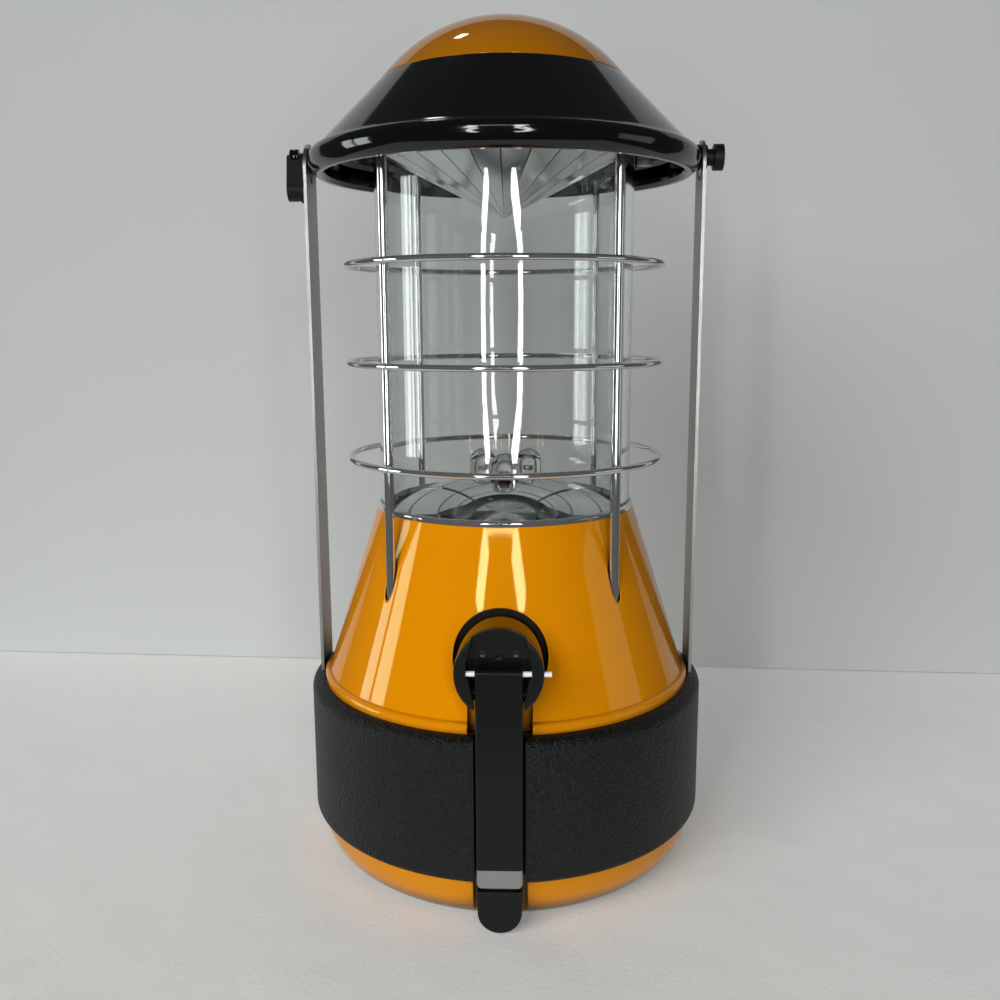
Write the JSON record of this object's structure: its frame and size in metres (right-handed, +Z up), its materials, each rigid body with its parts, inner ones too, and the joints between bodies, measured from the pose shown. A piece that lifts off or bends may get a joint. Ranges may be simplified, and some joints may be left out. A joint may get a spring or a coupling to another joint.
{
  "type": "hand crank lantern",
  "caption": "Hand crank lantern with a clear globe in a wire guard, mirror reflectors, black cap, rubber gripped base and a folding crank at the front.",
  "frame": {"origin": "under the lantern's axis, on the flat underside that stands on the floor", "axes": "+Z up along the lantern's axis, -Y towards the crank at the front, +X to the stay with the spool knob"},
  "size_m": [0.1401, 0.1358, 0.2715],
  "materials": {
    "yellow_plastic": "glossy moulded orange yellow",
    "black_plastic": "glossy black",
    "hub_plastic": "semi gloss black",
    "grip_rubber": "matte dark grey with a leathery grain",
    "seal_rubber": "matte black",
    "clear_globe": "clear",
    "lamp_clear": "clear diode body",
    "mirror_finish": "metallised mirror",
    "chrome_wire": "bright chrome",
    "stay_steel": "dull satin steel",
    "arm_black": "satin black",
    "collar_silver": "silver",
    "plain_steel": "plain",
    "gear_plastic": "off-white moulded",
    "inner_black": "matte black",
    "button_grey": "satin dark grey",
    "cell_wrap": "wrapped cell",
    "board_green": "circuit board"
  },
  "bodies": {
    "housing": {"base_tub": "yellow_plastic", "battery_door": "yellow_plastic", "door_screws": "plain_steel", "housing_screws": "plain_steel", "screw_plugs": "seal_rubber", "dust_ring": "seal_rubber", "rubber_grip": "grip_rubber", "body_cone": "yellow_plastic", "globe_trim_ring": "chrome_wire", "globe": "clear_globe", "globe_lower_seal": "seal_rubber", "globe_upper_seal": "seal_rubber", "lower_mirror": "mirror_finish", "lamp_board": "board_green", "lamps": "lamp_clear", "guard_rod_1": "chrome_wire", "guard_rod_2": "chrome_wire", "guard_rod_3": "chrome_wire", "guard_rod_4": "chrome_wire", "guard_ring_lower": "chrome_wire", "guard_ring_middle": "chrome_wire", "guard_ring_upper": "chrome_wire", "rod_sockets": "black_plastic", "rod_nuts": "plain_steel", "cap_plate": "black_plastic", "cap_shade": "black_plastic", "cap_dome": "yellow_plastic", "upper_mirror": "mirror_finish", "cap_screws": "plain_steel", "side_stay_left": "stay_steel", "side_stay_right": "stay_steel", "stay_screws": "plain_steel", "stay_studs": "plain_steel", "stay_spacers": "black_plastic", "circuit_board": "board_green", "battery_holder": "inner_black", "battery_cells": "cell_wrap", "gear_plate_front": "plain_steel", "gear_plate_rear": "plain_steel", "gear_pillars": "plain_steel", "gear_axles": "plain_steel", "generator_can": "plain_steel", "shaft_bush": "gear_plastic", "switch_body": "inner_black"},
    "crank_hub": {"crank_hub": "hub_plastic", "crank_shaft": "plain_steel", "clutch_hub": "plain_steel", "crank_pin": "chrome_wire"},
    "crank_arm": {"crank_arm": "arm_black", "arm_collar": "collar_silver", "knob_axle": "plain_steel"},
    "crank_knob": {"crank_knob": "hub_plastic"},
    "drive_gear": {"drive_gear": "gear_plastic"},
    "compound_gear_1": {"compound_gear_1": "gear_plastic"},
    "compound_gear_2": {"compound_gear_2": "gear_plastic"},
    "generator_rotor": {"generator_rotor": "plain_steel"},
    "power_button": {"power_button": "button_grey"},
    "left_lever": {"left_lever": "black_plastic"},
    "right_knob": {"right_knob": "black_plastic"}
  },
  "joints": [
    {"name": "crank_turn", "type": "hinge", "parent": "housing", "child": "crank_hub", "pos_m": [0, -0.06, 0.0802], "axis": [0, 1, 0], "range_deg": [-0.6, 0.6]},
    {"name": "crank_fold", "type": "hinge", "parent": "crank_hub", "child": "crank_arm", "pos_m": [0, -0.0678, 0.0802], "axis": [-1, 0, 0], "range_deg": [0, 180]},
    {"name": "knob_spin", "type": "hinge", "parent": "crank_arm", "child": "crank_knob", "pos_m": [0, -0.056, 0.007], "axis": [0, 1, 0], "continuous": true},
    {"name": "drive_gear_turn", "type": "hinge", "parent": "housing", "child": "drive_gear", "pos_m": [0, -0.0379, 0.0802], "axis": [0, 1, 0], "continuous": true},
    {"name": "compound_gear_1_turn", "type": "hinge", "parent": "housing", "child": "compound_gear_1", "pos_m": [0.01315, -0.036, 0.05548], "axis": [0, 1, 0], "continuous": true},
    {"name": "compound_gear_2_turn", "type": "hinge", "parent": "housing", "child": "compound_gear_2", "pos_m": [-0.00924, -0.032, 0.05626], "axis": [0, 1, 0], "continuous": true},
    {"name": "rotor_turn", "type": "hinge", "parent": "housing", "child": "generator_rotor", "pos_m": [-0.02323, -0.012, 0.05675], "axis": [0, 1, 0], "continuous": true},
    {"name": "button_press", "type": "slide", "parent": "housing", "child": "power_button", "axis": [0, -1, 0], "range_m": [0, 0.0012], "stiffness_N_per_m": 600},
    {"name": "lever_turn", "type": "hinge", "parent": "housing", "child": "left_lever", "pos_m": [-0.0665, 0, 0.2294], "axis": [1, 0, 0], "range_deg": [0, 90]},
    {"name": "spool_turn", "type": "hinge", "parent": "housing", "child": "right_knob", "pos_m": [0.067, 0, 0.2294], "axis": [1, 0, 0], "continuous": true}
  ],
  "couplings": [
    {"joint": "drive_gear_turn", "follows": "rotor_turn", "ratio": -0.027778},
    {"joint": "compound_gear_1_turn", "follows": "rotor_turn", "ratio": 0.11111},
    {"joint": "compound_gear_2_turn", "follows": "rotor_turn", "ratio": -0.33333}
  ]
}
